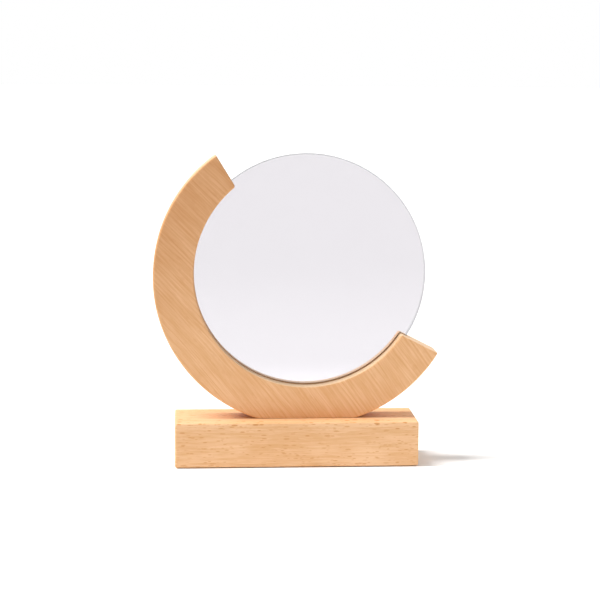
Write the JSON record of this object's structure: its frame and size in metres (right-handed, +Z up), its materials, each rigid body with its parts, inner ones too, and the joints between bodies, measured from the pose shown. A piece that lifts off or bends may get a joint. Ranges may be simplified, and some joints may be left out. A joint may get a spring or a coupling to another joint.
{
  "type": "countertop mirror",
  "caption": "Free-standing round mirror held in a grooved beech crescent that stands off-centre on a rounded beech block.",
  "frame": {"origin": "on the table, under the middle of the whole mirror's bounding box", "axes": "+X to the right as the user faces the mirror, +Y back, away from the user, +Z up; the glass faces -Y"},
  "size_m": [0.2376, 0.06, 0.259],
  "materials": {
    "frame_beech": "satin clear lacquer on straight-grained beech",
    "base_beech": "satin clear lacquer on flecked beech",
    "dowel_beech": "raw turned beech",
    "clear_glass": "polished float glass",
    "silver": "silvered",
    "grey_film": "matt safety film over grey backing paint",
    "clear_vinyl": "clear soft vinyl",
    "zinc_steel": "bright zinc plate",
    "felt": "pressed felt"
  },
  "bodies": {
    "root": {"base_block": "base_beech", "crescent_frame": "frame_beech", "mirror_glass": "clear_glass", "mirror_silvering": "silver", "mirror_backing_film": "grey_film", "foot_screw_left": "zinc_steel", "foot_screw_right": "zinc_steel", "screw_washer_left": "zinc_steel", "screw_washer_right": "zinc_steel", "foot_dowel_left": "dowel_beech", "foot_dowel_right": "dowel_beech", "setting_pad_1": "clear_vinyl", "setting_pad_2": "clear_vinyl", "setting_pad_3": "clear_vinyl", "setting_pad_4": "clear_vinyl", "setting_pad_5": "clear_vinyl", "felt_foot_front_left": "felt", "felt_foot_front_right": "felt", "felt_foot_back_left": "felt", "felt_foot_back_right": "felt"}
  },
  "joints": []
}
